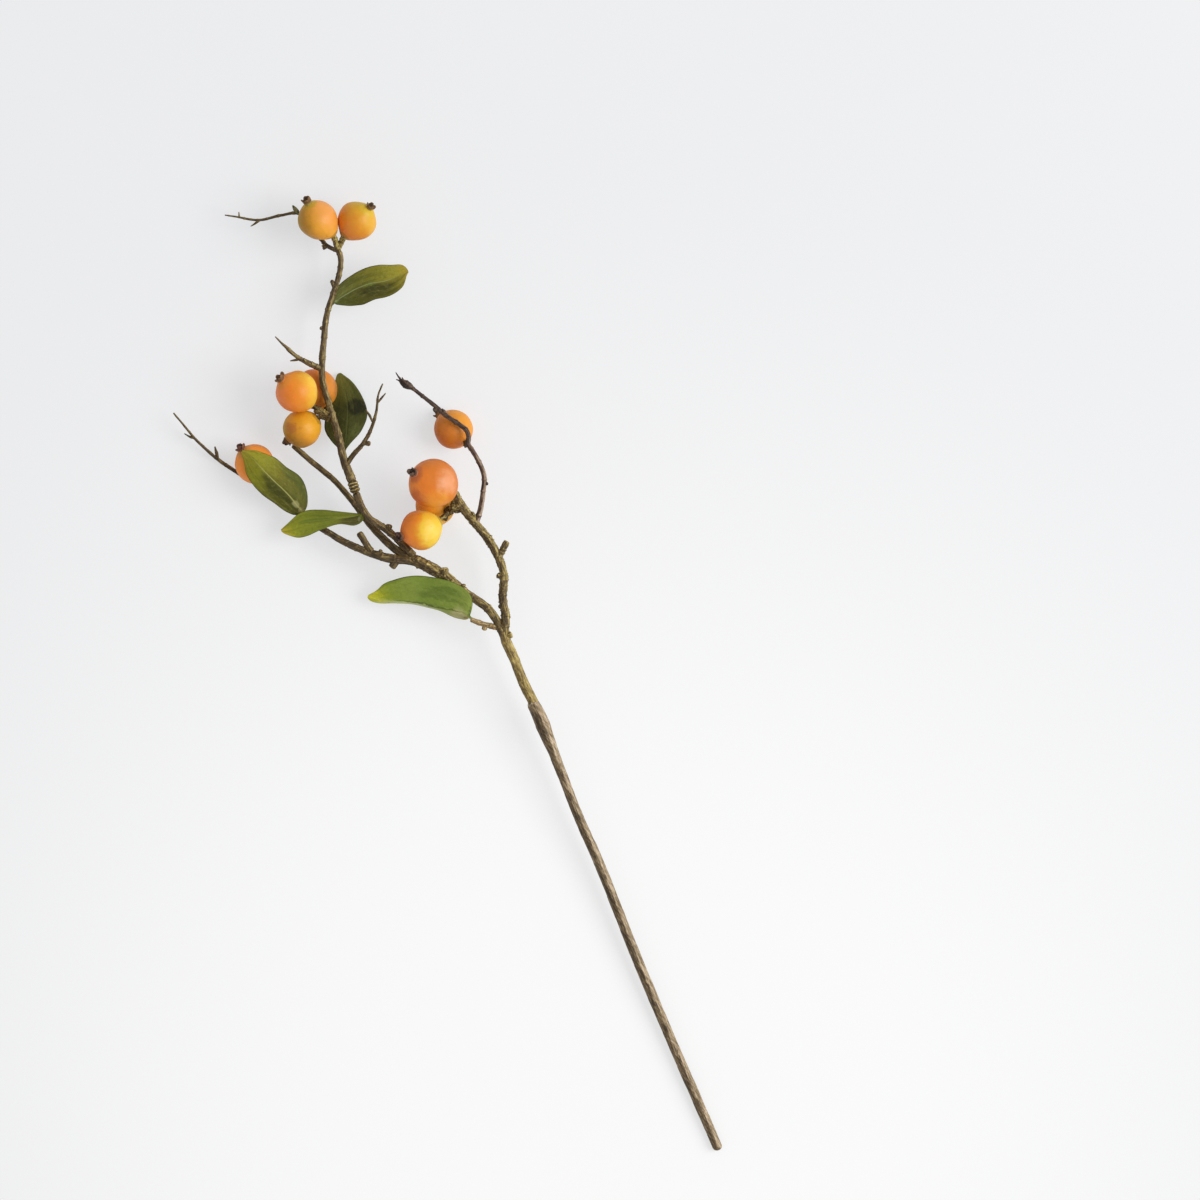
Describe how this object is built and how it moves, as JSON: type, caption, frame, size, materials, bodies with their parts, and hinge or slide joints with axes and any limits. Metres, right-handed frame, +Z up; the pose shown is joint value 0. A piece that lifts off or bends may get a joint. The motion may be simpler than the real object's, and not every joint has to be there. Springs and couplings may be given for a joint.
{
  "type": "crabapple sprig",
  "caption": "Cut crabapple sprig lying on its side: a long wrapped stem, a forked crown of knobbly twigs, orange and yellow berries with dry crowns, and leaves.",
  "frame": {"origin": "middle of the sprig's footprint, on the surface that it lies on", "axes": "+Z up off the surface, +Y from the cut end to the crown, +X to the right as seen from above"},
  "size_m": [0.3422, 0.593, 0.0549],
  "materials": {
    "wrapped_stem": "matte",
    "moulded_twig": "matte",
    "bark_twig": "matte",
    "dark_twig": "matte",
    "stalk": "matte",
    "dry_crown": "matte",
    "orange_berry": "satin",
    "yellow_berry": "satin",
    "leaf": "satin"
  },
  "bodies": {
    "root": {"main_stem": "wrapped_stem", "right_twig": "dark_twig", "right_twig_bud": "dark_twig", "main_fork": "moulded_twig", "left_branch": "moulded_twig", "right_branch": "moulded_twig", "leaf_1_twig": "moulded_twig", "ringed_collar": "moulded_twig", "low_limb": "bark_twig", "spur": "bark_twig", "upper_limb": "bark_twig", "upper_branch": "bark_twig", "bud_twig": "bark_twig", "thorn_twig": "bark_twig", "top_twig": "bark_twig", "top_stalks": "stalk", "middle_stalks": "stalk", "left_berry_stalk": "stalk", "right_stalks": "stalk", "inner_berry_stalk": "stalk", "top_left_berry": "yellow_berry", "top_left_berry_crown": "dry_crown", "top_right_berry": "orange_berry", "top_right_berry_crown": "dry_crown", "middle_upper_berry": "orange_berry", "middle_upper_berry_crown": "dry_crown", "middle_lower_berry": "yellow_berry", "middle_lower_berry_crown": "dry_crown", "middle_back_berry": "orange_berry", "middle_back_berry_crown": "dry_crown", "left_berry": "orange_berry", "left_berry_crown": "dry_crown", "right_large_berry": "orange_berry", "right_large_berry_crown": "dry_crown", "right_lower_berry": "yellow_berry", "right_lower_berry_crown": "dry_crown", "right_back_berry": "orange_berry", "right_back_berry_crown": "dry_crown", "inner_berry": "orange_berry", "inner_berry_crown": "dry_crown", "leaf_1": "leaf", "leaf_2": "leaf", "leaf_3": "leaf", "leaf_4": "leaf", "leaf_5": "leaf"}
  },
  "joints": []
}
